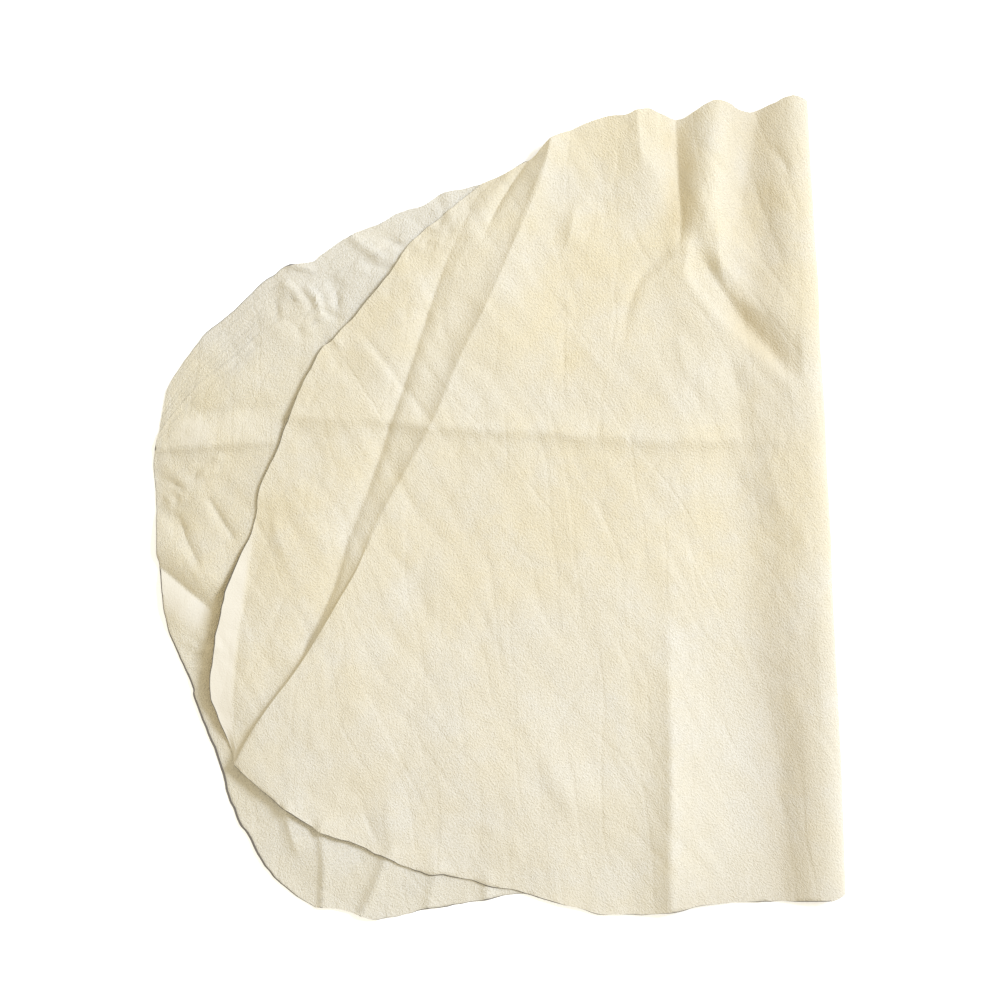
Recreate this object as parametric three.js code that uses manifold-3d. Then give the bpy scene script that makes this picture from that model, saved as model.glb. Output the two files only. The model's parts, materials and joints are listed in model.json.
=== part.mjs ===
// A natural chamois drying skin, folded once so that its shorter leaf lies on its longer one.
// Millimetres, +Z up. The fold runs along Y, and +X points out of it.
// The origin is under the middle of the folded skin, on the surface that it lies on.

import * as THREE from 'three';
import { mergeVertices } from 'three/addons/utils/BufferGeometryUtils.js';
import Module from 'manifold-3d';

// Sizes of the skin
const SKIN_LENGTH = 500; // along the fold
const LOWER_REACH = 415; // from the fold's outermost line to the far edge of the lower leaf
const UPPER_REACH = 388; // from the fold's outermost line to the far edge of the upper leaf
const SKIN_THICKNESS = 1;
const LAYER_GAP = 0.3; // clearance between one layer of leather and the next

// The soft bend along the fold
const FOLD_DEPTH = 10; // from its outermost line in to its crest
const FOLD_RISE = 4.5; // half of its height
const FOLD_INSET = 2; // from each end of the skin to the end of the bend
const SHOULDER_RUN = 36; // from the crest in to where the upper leaf comes down on the lower one

// Fineness of the draped sheets
const COLUMNS = 25;
const ROWS = 26;
const OUTLINE_STEPS = 64;
const BEND_STEPS = 12;
const TRIM = 6; // what is cut off the sheets all round, outside their outlines

// How much of a fold's line it takes to rise to its height at each end
const FOLD_FADE = 0.25;

// Folds of the drape. Each follows a line from leaf edge to leaf edge or fades out on the leaf.
// Places are shares of the way from the bend to the far edge, and of the length from the near end.
// farFlank is the width of the slope on the side of the far edge, nearFlank on the side of the bend.
const CROSS_CREASE = {
  height: 3, farFlank: 16, nearFlank: 16,
  line: [[1.3, 0.61], [0.6, 0.615], [0.22, 0.587], [0.04, 0.58]],
};
const DIAGONAL_RIDGE = {
  height: 5, farFlank: 18, nearFlank: 40,
  line: [[0.34, 1.04], [0.6, 0.642], [0.78, 0.412], [1.0, 0.16]],
};
const EDGE_CURL = {
  height: 7, farFlank: 24, nearFlank: 20,
  line: [[0.9, 0.56], [0.97, 0.406], [1.0, 0.306], [0.97, 0.2]],
};
const OUTER_WAVE = {
  height: 7, farFlank: 36, nearFlank: 20,
  line: [[0.23, 1.2], [0.23, 0.94], [0.22, 0.8]],
};
const INNER_WAVE = {
  height: 12, farFlank: 22, nearFlank: 28,
  line: [[0.12, 1.24], [0.13, 0.92], [0.145, 0.76]],
};
const LENGTH_CREASE = {
  height: 6, farFlank: 32, nearFlank: 48,
  line: [[0.26, -0.15], [0.25, 0.246], [0.24, 0.5]],
};
const SLANT_CREASE = {
  height: 4, farFlank: 26, nearFlank: 16,
  line: [[0.2, 0.79], [0.12, 0.7], [0.05, 0.6]],
};
const UPPER_FOLDS = [DIAGONAL_RIDGE, EDGE_CURL, OUTER_WAVE, INNER_WAVE, LENGTH_CREASE, SLANT_CREASE];

// Cut edges of the two leaves in the same shares, between the far and the near end of the bend
const LOWER_EDGE = [
  [0.214, 0.974], [0.389, 0.926], [0.496, 0.907], [0.588, 0.885], [0.72, 0.836],
  [0.81, 0.806], [0.888, 0.755], [0.963, 0.691], [0.986, 0.637], [0.999, 0.566], [1, 0.486],
  [0.992, 0.398], [0.955, 0.309], [0.914, 0.2], [0.88, 0.123], [0.838, 0.062], [0.783, 0.027],
  [0.69, 0.008], [0.563, 0.023], [0.463, 0.031], [0.314, 0.016],
];
const UPPER_EDGE = [
  [0.067, 0.984], [0.122, 0.998], [0.189, 0.978], [0.231, 0.992], [0.305, 0.984],
  [0.389, 0.962], [0.443, 0.932], [0.555, 0.884], [0.657, 0.813], [0.783, 0.716], [0.845, 0.63],
  [0.898, 0.547], [0.925, 0.478], [0.979, 0.392], [1, 0.302], [0.973, 0.236], [0.961, 0.209],
  [0.871, 0.146], [0.738, 0.093], [0.63, 0.06], [0.523, 0.04], [0.416, 0.013], [0.309, 0],
  [0.175, 0.007],
];

// The upper leaf's edge swings past the end of the bend as it opens, so it stands off by that much more.
const lowerJoin = FOLD_DEPTH + LAYER_GAP;
const upperJoin = FOLD_DEPTH + LAYER_GAP + SKIN_THICKNESS * FOLD_RISE / FOLD_DEPTH;

const wasm = await Module();
wasm.setup();

// Solids

function toSolid(geometry) {
  geometry.deleteAttribute('normal');
  geometry.deleteAttribute('uv');
  const merged = mergeVertices(geometry);
  const mesh = new wasm.Mesh({
    numProp: 3,
    vertProperties: new Float32Array(merged.attributes.position.array),
    triVerts: new Uint32Array(merged.index.array),
  });
  return new wasm.Manifold(mesh);
}

function toGeometry(solid) {
  const mesh = solid.getMesh();
  const geometry = new THREE.BufferGeometry();
  geometry.setAttribute('position', new THREE.BufferAttribute(mesh.vertProperties, 3));
  geometry.setIndex(new THREE.BufferAttribute(mesh.triVerts, 1));
  geometry.computeVertexNormals();
  return geometry;
}

// Places on a leaf

function placeOnLeaf([reachShare, lengthShare], join, reach) {
  return new THREE.Vector2(-join - reachShare * (reach - join), lengthShare * SKIN_LENGTH);
}

function leafOutline(edge, join, reach) {
  const farEnd = new THREE.Vector2(-join, SKIN_LENGTH - FOLD_INSET);
  const nearEnd = new THREE.Vector2(-join, FOLD_INSET);
  const places = edge.map((share) => placeOnLeaf(share, join, reach));
  const curve = new THREE.SplineCurve([farEnd, ...places, nearEnd]);
  return new THREE.Shape(curve.getSpacedPoints(OUTLINE_STEPS));
}

// Height of the drape

function nearestOnLine(line, point) {
  let nearest = { distance: Infinity };
  for (let i = 1; i < line.length; i += 1) {
    const stretch = line[i].clone().sub(line[i - 1]);
    const offset = point.clone().sub(line[i - 1]);
    const share = THREE.MathUtils.clamp(offset.dot(stretch) / stretch.lengthSq(), 0, 1);
    const distance = offset.clone().addScaledVector(stretch, -share).length();
    if (distance < nearest.distance) {
      const progress = (i - 1 + share) / (line.length - 1);
      nearest = { distance, progress, onFarSide: point.x < line[i - 1].x + share * stretch.x };
    }
  }
  return nearest;
}

function foldHeight(fold, point, join, reach) {
  const line = fold.line.map((share) => placeOnLeaf(share, join, reach));
  const { distance, progress, onFarSide } = nearestOnLine(line, point);
  const flank = onFarSide ? fold.farFlank : fold.nearFlank;
  const across = 1 - THREE.MathUtils.smoothstep(distance, 0, flank);
  const fadeIn = THREE.MathUtils.smoothstep(progress, 0, FOLD_FADE);
  const fadeOut = THREE.MathUtils.smoothstep(1 - progress, 0, FOLD_FADE);
  return fold.height * across * fadeIn * fadeOut;
}

function lowerUnderside(point) {
  return foldHeight(CROSS_CREASE, point, lowerJoin, LOWER_REACH);
}

function upperUnderside(point) {
  const lying = lowerUnderside(point) + SKIN_THICKNESS + LAYER_GAP;
  const crest = 2 * FOLD_RISE - SKIN_THICKNESS;
  const shoulder = 1 - THREE.MathUtils.smoothstep(-FOLD_DEPTH - point.x, 0, SHOULDER_RUN);
  const folds = UPPER_FOLDS.map((fold) => foldHeight(fold, point, upperJoin, UPPER_REACH));
  const lift = folds.reduce((sum, height) => sum + height, 0);
  return lying + shoulder * Math.max(0, crest - SKIN_THICKNESS - LAYER_GAP) + lift;
}

// Both leaves use the same columns, rows and diagonals, so their facets keep the gap between the layers.
function drapedSheet(underside) {
  const width = Math.max(LOWER_REACH, UPPER_REACH) - FOLD_DEPTH + TRIM;
  const length = SKIN_LENGTH + 2 * TRIM;
  const vertices = [];
  for (const lift of [0, SKIN_THICKNESS]) {
    for (let row = 0; row <= ROWS; row += 1) {
      for (let column = 0; column <= COLUMNS; column += 1) {
        const x = -FOLD_DEPTH - width * (1 - column / COLUMNS);
        const y = length * row / ROWS - TRIM;
        vertices.push(x, y, underside(new THREE.Vector2(x, y)) + lift);
      }
    }
  }
  const triangles = [];
  const corner = (face, column, row) => (face * (ROWS + 1) + row) * (COLUMNS + 1) + column;
  const addQuad = (a, b, c, d) => triangles.push(a, b, c, a, c, d);
  for (let row = 0; row < ROWS; row += 1) {
    const above = row + 1;
    for (let column = 0; column < COLUMNS; column += 1) {
      const next = column + 1;
      addQuad(corner(1, column, row), corner(1, next, row), corner(1, next, above), corner(1, column, above));
      addQuad(corner(0, column, row), corner(0, column, above), corner(0, next, above), corner(0, next, row));
    }
  }
  for (let column = 0; column < COLUMNS; column += 1) {
    const next = column + 1;
    addQuad(corner(0, column, 0), corner(0, next, 0), corner(1, next, 0), corner(1, column, 0));
    addQuad(corner(0, next, ROWS), corner(0, column, ROWS), corner(1, column, ROWS), corner(1, next, ROWS));
  }
  for (let row = 0; row < ROWS; row += 1) {
    const above = row + 1;
    addQuad(corner(0, 0, above), corner(0, 0, row), corner(1, 0, row), corner(1, 0, above));
    const last = COLUMNS;
    addQuad(corner(0, last, row), corner(0, last, above), corner(1, last, above), corner(1, last, row));
  }
  const sheet = new THREE.BufferGeometry();
  sheet.setAttribute('position', new THREE.Float32BufferAttribute(vertices, 3));
  sheet.setIndex(triangles);
  return sheet;
}

// The pieces

function leaf(underside, edge, join, reach) {
  const sheet = drapedSheet(underside);
  sheet.computeBoundingBox();
  const depth = sheet.boundingBox.max.z + 2 * TRIM;
  const outline = new THREE.ExtrudeGeometry(leafOutline(edge, join, reach), { depth, bevelEnabled: false });
  outline.translate(0, 0, -TRIM);
  return toGeometry(toSolid(sheet).intersect(toSolid(outline)));
}

function foldRoll() {
  const section = new THREE.Shape();
  const quarter = Math.PI / 2;
  section.absellipse(-FOLD_DEPTH, FOLD_RISE, FOLD_DEPTH, FOLD_RISE, -quarter, quarter, false, 0);
  const innerDepth = FOLD_DEPTH - SKIN_THICKNESS;
  const innerRise = FOLD_RISE - SKIN_THICKNESS;
  section.absellipse(-FOLD_DEPTH, FOLD_RISE, innerDepth, innerRise, quarter, -quarter, true, 0);
  const roll = new THREE.ExtrudeGeometry(section, {
    depth: SKIN_LENGTH - 2 * FOLD_INSET,
    bevelEnabled: false,
    curveSegments: BEND_STEPS,
  });
  roll.rotateX(Math.PI / 2);
  roll.translate(0, SKIN_LENGTH - FOLD_INSET, 0);
  return roll;
}

function suede(color) {
  return new THREE.MeshStandardMaterial({ color, roughness: 0.95, metalness: 0 });
}

function piece(name, geometry, material) {
  const mesh = new THREE.Mesh(geometry, material);
  mesh.name = name;
  return mesh;
}

const outerSuede = suede(0xebe2c9);
const innerSuede = suede(0xe3dcc8);

const chamois = new THREE.Group();
chamois.add(piece('lower_leaf', leaf(lowerUnderside, LOWER_EDGE, lowerJoin, LOWER_REACH), innerSuede));
chamois.add(piece('fold_roll', foldRoll(), outerSuede));
chamois.add(piece('upper_leaf', leaf(upperUnderside, UPPER_EDGE, upperJoin, UPPER_REACH), outerSuede));

// Stands the folded skin over the origin
const box = new THREE.Box3().setFromObject(chamois);
const middle = box.getCenter(new THREE.Vector3());
chamois.position.set(-middle.x, -middle.y, -box.min.z);

export default chamois;
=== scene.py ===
# Looks of the folded chamois drying skin: two leaves of cream suede joined by a soft roll of leather.
import json
import math

import bpy
import numpy as np
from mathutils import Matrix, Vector


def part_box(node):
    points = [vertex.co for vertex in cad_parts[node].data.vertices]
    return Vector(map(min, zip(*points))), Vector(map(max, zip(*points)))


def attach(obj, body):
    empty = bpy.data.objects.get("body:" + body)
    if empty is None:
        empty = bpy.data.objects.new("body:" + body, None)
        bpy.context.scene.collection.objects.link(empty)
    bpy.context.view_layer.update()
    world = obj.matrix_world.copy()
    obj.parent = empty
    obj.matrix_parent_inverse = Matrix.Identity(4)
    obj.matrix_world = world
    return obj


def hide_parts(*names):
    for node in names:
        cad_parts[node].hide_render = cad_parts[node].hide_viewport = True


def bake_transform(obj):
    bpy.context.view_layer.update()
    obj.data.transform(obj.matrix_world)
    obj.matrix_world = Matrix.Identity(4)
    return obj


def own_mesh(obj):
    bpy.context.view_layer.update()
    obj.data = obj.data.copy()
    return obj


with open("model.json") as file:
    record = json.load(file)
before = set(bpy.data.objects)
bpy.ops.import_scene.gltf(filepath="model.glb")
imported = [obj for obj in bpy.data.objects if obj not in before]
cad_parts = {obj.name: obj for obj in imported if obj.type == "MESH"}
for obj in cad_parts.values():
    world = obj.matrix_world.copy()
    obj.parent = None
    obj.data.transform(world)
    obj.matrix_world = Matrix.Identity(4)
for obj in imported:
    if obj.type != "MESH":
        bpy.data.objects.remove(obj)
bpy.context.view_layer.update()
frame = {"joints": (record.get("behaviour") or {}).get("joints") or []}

MM = 0.001

# Places are in millimetres. Points of the leaves are (x, y): x from the fold's outermost line, negative
# towards the cut edge, and y along the fold from its near corner.
HINGE_X = frame["joints"][0]["pos_m"][0] / MM
FOLD_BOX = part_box("fold_roll")
FOLD_LENGTH = 494.0
Y_SHIFT = (FOLD_BOX[0][1] + FOLD_BOX[1][1]) / 2 / MM - FOLD_LENGTH / 2

# Thickness of the leather, height of the lower leaf's underside over the table where it lies flat, and the
# least height of the upper leaf's top there
SKIN = 1.0
SLACK = 0.3
LYING = 2.2 * SKIN

# The roll along the fold is a half round with a slight bow and waver, tucked in at both ends. A waver is its
# size, the size of its cells and its seed.
ROLL_DEPTH = 10.0
ROLL_RISE = 4.5
CREST = 2 * ROLL_RISE
ROLL_BOW = 1.5
ROLL_NEAR_TUCK = 3.0
ROLL_FAR_TUCK = 2.5
ROLL_WAVER = (0.5, 38, 71)
ROLL_WAVER_PER_RADIAN = 40

# Grids of the leaves: rows along the fold and columns out from it. Two more columns at these distances from
# the roll's crest make both leaves shade alike where they meet.
UPPER_ROWS = 200
LOWER_ROWS = 270
BODY_COLUMNS = 160
FLAP_COLUMNS = 80
LOWER_COLUMNS = 148
ROLL_STEPS = 28
SEAM_STEPS = (0.25, 0.75)

# Width of the upper leaf that turns those distances into shares, share of the way out at its diagonal
# crease, and the power that crowds the lower leaf's columns towards its cut edge
UPPER_WIDTH = 380
FLAP_START = 0.65
LOWER_CROWDING = 0.5

# Cut edges. Each leaf has a near and a far edge from the fold outwards, and an outer edge from near to far.
UPPER_NEAR = [
    (-10, 0), (-40, 0.5), (-60, 0.8), (-80, 0.3), (-95, -0.5), (-115, -3.3), (-140, -3), (-150, -2.5),
    (-160, 0), (-180, 6.5), (-200, 13.5), (-220, 19), (-240, 25.5), (-260, 29), (-280, 38), (-300, 48.5),
    (-320, 56.5), (-340, 69.8), (-350, 78), (-360, 88), (-368, 95.5), (-373.5, 101.5),
]
UPPER_OUTER = [
    (-374.5, 103), (-374.5, 108), (-376.5, 115), (-380.8, 129), (-384.6, 140), (-385.5, 148), (-384.5, 160),
    (-381.5, 176), (-377.5, 193), (-372.7, 210), (-366.8, 223), (-360, 236), (-355, 247), (-352, 259),
    (-350, 270.5), (-340, 289.5), (-330, 312), (-320, 334), (-307, 355), (-300, 360.5), (-280, 380.5),
    (-260, 403.5), (-250, 417), (-240, 425.5), (-222, 439), (-203, 453),
]
UPPER_FAR = [
    (-10, 497), (-16, 495.8), (-22, 493), (-32, 489.5), (-42, 490), (-50, 494.5), (-57, 496),
    (-64, 493.5), (-72, 489.5), (-82, 486), (-90, 489.5), (-98, 493), (-106, 492.5), (-115, 490),
    (-126, 489), (-140, 485.5), (-150, 481.5), (-160, 478),
]
FLAP_FAR = [(-160, 478), (-170, 468), (-190, 457.5), (-203, 453)]
FLAP_NEAR = [(-373.5, 101.5), (-374.5, 103)]
LOWER_NEAR = [
    (-10, 1.5), (-140, 3), (-170, 6), (-190, 10), (-200, 12.7), (-210, 12.3), (-220, 10.8), (-240, 8.5),
    (-260, 6), (-280, 2.5), (-291, 1.2), (-300, 3.8), (-308, 6.5), (-316, 9), (-328, 10.3),
]
LOWER_OUTER = [
    (-328, 10.3), (-340, 18.5), (-350, 28), (-360, 42), (-367, 58.5), (-372, 66), (-378, 84), (-385, 112),
    (-396, 143), (-397, 151.5), (-407, 176), (-412, 196), (-413.5, 224), (-415.5, 236), (-414.3, 260),
    (-414.5, 280), (-414, 295), (-409.5, 315.5), (-405, 334),
]
LOWER_FAR = [
    (-10, 494), (-20, 488), (-32, 484), (-60, 482), (-120, 476), (-170, 460), (-205, 452), (-213, 450.5),
    (-228, 448.5), (-240, 441.5), (-258, 436.5), (-268, 431), (-283, 426), (-303, 415), (-310, 410),
    (-325, 408), (-332, 404.5), (-339, 400), (-360, 382.5), (-380, 367), (-390, 355.5), (-400, 342.5),
    (-405, 334),
]
LOWER_CUT = LOWER_NEAR[4:] + LOWER_OUTER[1:-1] + LOWER_FAR[:4:-1]

# The cut rim's dark colour is painted shade; the slant shows a thin line of it from above.
# The cut is slanted, so the underside of each leaf sticks out: by how much along the near edge, along the
# lower leaf's far edge at places out from the fold, and along the outer edges at places along the fold.
SKIVE_NEAR = 0.9
SKIVE_FAR = ([-335, -315], [0.65, 0.2])
SKIVE_LOWER = ([0, 50, 110, 190, 250, 330], [0.8, 1.6, 1.6, 0.9, 0.7, 0.6])
SKIVE_UPPER = ([100, 240, 450], [0.35, 0.3, 0.25])

# The near edge's slant is broken up between a tenth and the whole of its width.
BROKEN_MIDDLE = 0.55
BROKEN_SWING = (0.45, 13, 91)

# A hand cut wavers: the width, the cells of a broad and a fine waver, and the ends that stay put.
EDGE_WAVER = 0.45
EDGE_CELL = 9
FINE_EDGE_CELL = 4.5
FINE_EDGE_SHARE = 0.6
FINE_EDGE_SEED = 20
EDGE_ENDS = (0.08, 0.08)
EDGE_SEEDS = {
    "upper_near": 81, "upper_far": 82, "flap_far": 83, "upper_outer": 84,
    "lower_near": 85, "lower_far": 86, "lower_outer": 87,
}

# The crease that parts the upper leaf's flap from its body, from the near corner to the far edge
DIAGONAL = [
    (-373.5, 101.5), (-363, 119), (-349, 138), (-333, 157), (-318, 178), (-303, 201), (-291, 220),
    (-278, 247), (-262, 273), (-241, 307), (-222, 346), (-204, 378), (-192, 402), (-177, 432), (-165, 458),
    (-160, 478),
]

# The tuck that sinks just outside the near half of that crease
TUCK_LINE = [(x - 0.5, y + 0.3) for x, y in DIAGONAL[:8]]

# Folds of the upper leaf. Each has a line, the height of its crest (negative for a sunken crease), and the
# widths of its flanks to the left and right of the line, seen along it from the first point. A pair of
# values goes from the first point to the last. The crest is crisp unless a lower share is given.
UPPER_FOLDS = {
    "diagonal_crease": dict(
        line=DIAGONAL,
        height=(2.2, 2.0), left=(12, 19), right=(60, 50), fade=(0, 0)),
    "diagonal_tuck": dict(
        line=TUCK_LINE,
        height=-2.4, left=14, right=0.4, fade=(0, 0.5)),
    "diagonal_valley": dict(
        line=[(-205, 448), (-215, 430), (-230, 400), (-243, 368), (-258, 329), (-268, 305), (-281, 272),
              (-296, 240), (-307, 208), (-319, 183), (-331, 161)],
        height=-3.5, left=(16, 9), right=20, fade=(0.25, 0.05)),
    "far_mouth": dict(
        line=[(-156, 486), (-165, 462), (-176, 438), (-188, 412)],
        height=3.6, left=18, right=20, crisp=0.7, fade=(0, 0.6)),
    "mouth_pleat": dict(
        line=[(-168, 470), (-177, 462), (-193, 440), (-206, 416)],
        height=-2.8, left=9, right=9, fade=(0.1, 0.4)),
    "inner_wave": dict(
        line=[(-56, 502), (-59, 480), (-63, 445), (-67, 426), (-74, 412), (-77, 398)],
        height=10.5, left=(30, 18), right=(23, 26), crisp=0, fade=(0, 0.35)),
    "wave_valley": dict(
        line=[(-82, 492), (-82, 450), (-82, 425), (-84, 405)],
        height=-2, left=14, right=13, crisp=0.9, fade=(0, 0.15)),
    "outer_wave": dict(
        line=[(-101, 502), (-101, 470), (-97, 440), (-92, 415)],
        height=3.6, left=19, right=36, crisp=0, fade=(0, 0.5)),
    "small_wave": dict(
        line=[(-106, 498), (-105, 470), (-102, 445)],
        height=1.4, left=8, right=9, crisp=0.6, fade=(0, 0.6)),
    "slant_valley": dict(
        line=[(-70, 411), (-67.5, 397), (-61, 384), (-53, 371), (-42, 354), (-26, 334.6), (-13, 317)],
        height=(-2.8, -5.0), left=(6, 28), right=(8, 13), crisp=0.9, power=1.7, fade=(0.2, 0.25)),
    "slant_bulge": dict(
        line=[(-58, 430), (-60, 406), (-58, 388), (-52, 376), (-33, 364), (-12, 348)],
        height=(4.6, 5.2), left=(34, 34), right=(10, 26), crisp=0.7, power=1.6, fade=(0.3, 0.4)),
    "slant_ridge": dict(
        line=[(-76, 418), (-80, 402), (-81, 391), (-76, 379), (-60, 360), (-44, 346), (-27, 327),
              (-12, 305)],
        height=2.8, left=10, right=30, crisp=0.6, power=2, fade=(0.12, 0.25)),
    "side_valley": dict(
        line=[(-84, 403), (-94, 400), (-103, 394), (-110, 386), (-116, 373), (-119, 358), (-122, 340)],
        height=-2.2, left=8, right=10, crisp=0.8, fade=(0.15, 0.7)),
    "cross_crease": dict(
        line=[(-350, 316), (-300, 312), (-270, 308), (-240, 303), (-200, 299), (-150, 294), (-100, 288),
              (-50, 286), (-10, 284)],
        height=2.2, left=34, right=13, crisp=0.9, waver=1.4, fade=(0.05, 0.15)),
    "lengthwise_crease": dict(
        line=[(-109, -12), (-108, 30), (-106, 60), (-104, 100), (-103, 140), (-101, 190), (-100, 240)],
        height=(6.8, 9.0), left=31, right=60, crisp=0.9, fade=(0, 0.8)),
    "near_dimple": dict(
        line=[(-184, 108), (-173, 80), (-160, 48)],
        height=1.9, left=26, right=16, crisp=0.1, fade=(0.35, 0.4)),
    "near_spot": dict(
        line=[(-278, 88), (-280, 60), (-276, 32)],
        height=1.2, left=18, right=14, crisp=0.25, fade=(0.4, 0.4)),
    "roll_crease": dict(
        line=[(-36, 446), (-33, 436), (-27, 415), (-20, 392), (-20, 378)],
        height=-0.6, left=8, right=8, fade=(0.2, 0.3)),
    "far_roll_crease": dict(
        line=[(-24, 468), (-18, 458), (-12, 446)],
        height=-1.3, left=7, right=7, fade=(0.3, 0.3)),
    "roll_streak": dict(
        line=[(-47, 346), (-44, 320), (-40, 288)],
        height=1.1, left=13, right=12, crisp=0.3, fade=(0.3, 0.3)),
    "roll_nick": dict(
        line=[(-38, 282), (-33, 262), (-27, 238)],
        height=0.9, left=10, right=8, crisp=0.5, fade=(0.3, 0.3)),
    "far_nick": dict(
        line=[(-147, 438), (-150, 420), (-157, 403)],
        height=1.8, left=14, right=10, crisp=0.7, fade=(0.3, 0.4)),
    "middle_nick": dict(
        line=[(-87, 358), (-85, 335), (-81, 316)],
        height=0.9, left=10, right=8, crisp=0.4, fade=(0.4, 0.4)),
    "pressed_line": dict(
        line=[(-286, 370), (-262, 336), (-240, 305), (-226, 286)],
        height=-1.1, left=5, right=5, fade=(0.2, 0.3)),
    "flap_nick": dict(
        line=[(-344, 256), (-340, 242), (-335, 226)],
        height=0.8, left=7, right=6, crisp=0.5, fade=(0.3, 0.3)),
}

# Folds of the lower leaf, given in the same way
LOWER_FOLDS = {
    "cross_ridge": dict(
        line=[(-420, 299), (-385, 299), (-330, 301)],
        height=2.8, left=22, right=9, crisp=0.9, fade=(0, 0.3)),
    "cross_valley": dict(
        line=[(-414, 321), (-385, 320), (-330, 321)],
        height=-2.2, left=17, right=12, crisp=0.5, fade=(0, 0.3)),
    "outer_lift": dict(
        line=[(-416, 226), (-400, 212), (-384, 196)],
        height=6, left=40, right=34, crisp=0, fade=(0, 0.35)),
    "outer_valley": dict(
        line=[(-418, 229), (-411, 223), (-396, 209.5), (-380, 195)],
        height=-5.6, left=16, right=20, power=1.8, fade=(0, 0.3)),
    "outer_crease": dict(
        line=[(-404, 262), (-396, 240), (-386, 218)],
        height=-2.4, left=11, right=12, fade=(0.2, 0.3)),
    "inner_nick": dict(
        line=[(-384, 270), (-374, 252), (-365, 237)],
        height=-2.2, left=9, right=9, fade=(0.2, 0.2)),
    "edge_nick": dict(
        line=[(-416, 280), (-404, 277), (-394, 271)],
        height=-1.8, left=7, right=7, fade=(0, 0.4)),
    "outer_streak": dict(
        line=[(-412, 295), (-399, 279), (-387, 263)],
        height=1, left=8, right=8, crisp=0.4, fade=(0.2, 0.3)),
    "near_fold": dict(
        line=[(-343, 78), (-342, 62), (-336, 40)],
        height=2.2, left=26, right=9, crisp=0.9, fade=(0.1, 0.3)),
}

# Short creases by the lower leaf's near edge, then by its far edge: line, height, left and right flank, fade
SHORT_CREASES = [
    ([(-323, 68), (-323, 57), (-322, 37), (-325, 6)], 2, 36, 6, (0.14, 0)),
    ([(-278, 50), (-284, 37), (-291, 22), (-302, 2)], 2.6, 36, 9, (0.18, 0)),
    ([(-251, 36), (-254, 27), (-257, 15), (-260, 2)], 1.3, 20, 8, (0.18, 0)),
    ([(-221, 30), (-222, 18), (-222, 6)], 1.5, 22, 8, (0.25, 0)),
    ([(-328, 411), (-323, 408), (-308, 403)], 2.4, 8, 5, (0, 0.2)),
    ([(-331, 398), (-322, 391), (-318, 374)], 2.4, 8, 7, (0.1, 0.4)),
    ([(-318, 396), (-309, 386), (-307, 368)], 2.6, 8, 6, (0.2, 0.4)),
    ([(-302, 402), (-296, 386), (-300, 370)], -2.2, 7, 9, (0.2, 0.4)),
    ([(-342, 396), (-334, 386), (-334, 370)], -1.6, 8, 8, (0.1, 0.4)),
    ([(-312, 380), (-302, 377), (-292, 371)], -1.4, 6, 7, (0.2, 0.3)),
    ([(-286, 424), (-274, 414), (-262, 408)], 2.4, 8, 6, (0, 0.3)),
    ([(-268, 426), (-260, 419), (-248, 418)], -1.5, 7, 7, (0.1, 0.3)),
    ([(-282, 410), (-268, 404), (-256, 405)], -1.3, 6, 7, (0.2, 0.3)),
    ([(-232, 446), (-229, 437), (-231, 426)], -2, 8, 8, (0, 0.3)),
]

# Bunches of sharp creases by the lower leaf's far and outer edges: middle, spread, direction and number
CRUMPLES = [
    ((-314, 388), (15, 12), -0.9, 22),
    ((-262, 420), (15, 8), -0.15, 16),
    ((-232, 436), (7, 6), -1.3, 5),
    ((-398, 166), (8, 10), 0.1, 8),
    ((-390, 284), (6, 5), 0.5, 7),
    ((-404, 258), (5, 12), -1.1, 6),
]

# Each crease of a bunch is drawn at random within these bounds.
CREASE_SEED = 33
CREASE_TURN = (-0.5, 0.5)
CREASE_LENGTH = (7, 17)
CREASE_BOW = (-2, 2)
CREASE_SIGNS = [-0.9, 1.0]
CREASE_HEIGHT = (0.5, 1.3)
CREASE_FLANK = (3, 7)
CREASE_FADE = (0.3, 0.3)
CREASE_POWER = 1.8

# Lifts of the lower leaf's cut edge off the table: middle point, reach and height
EDGE_LIFTS = [
    ((-394, 142), 52, 1.4),
    ((-362, 48), 40, 1.1),
    ((-300, 4), 34, 0.8),
]


# Curves and shares

# Steps from point to point of a cut edge and of a fold's line, and a length too short to scale by
CURVE_STEPS = 8
LINE_STEPS = 6
TINY = 1e-9


def smooth(share):
    """Eases a share from 0 to 1 with level ends."""
    share = np.clip(share, 0.0, 1.0)
    return share * share * (3.0 - 2.0 * share)


def eased(value, ramp):
    """Share that eases from 0 to 1 on a ramp, given by its start and its run. A negative run goes down."""
    start, run = ramp
    return smooth((value - start) / run)


def smoother(share):
    """Eases a share from 0 to 1 with ends that are level and don't bend."""
    share = np.clip(share, 0.0, 1.0)
    return share ** 3 * (6 * share ** 2 - 15 * share + 10)


def faded(share, fade):
    """Level along a line, which is 1 and eases to 0 over the given shares of its start and its end."""
    start, end = fade
    level = np.ones(share.shape)
    if start:
        level = level * smooth(share / start)
    if end:
        level = level * smooth((1 - share) / end)
    return level


def ranged(value, share):
    """A size that is the same along a fold, or goes from a first to a last value."""
    if isinstance(value, tuple):
        return value[0] + (value[1] - value[0]) * share
    return value


def unit(vectors):
    """Vectors scaled to length 1."""
    return vectors / np.maximum(np.linalg.norm(vectors, axis=-1, keepdims=True), TINY)


def curve_through(points, steps):
    """Points of a smooth curve through the given ones."""
    given = np.asarray(points, float)
    before = 2 * given[0] - given[1]
    after = 2 * given[-1] - given[-2]
    guide = np.vstack([before, given, after])
    share = np.linspace(0, 1, steps, endpoint=False)[:, None]
    spans = []
    for a, b, c, d in zip(guide, guide[1:], guide[2:], guide[3:]):
        bend = (2 * a - 5 * b + 4 * c - d) * share ** 2
        twist = (3 * b - a - 3 * c + d) * share ** 3
        spans.append(0.5 * (2 * b + (c - a) * share + bend + twist))
    spans.append(given[-1:])
    return np.vstack(spans)


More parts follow.
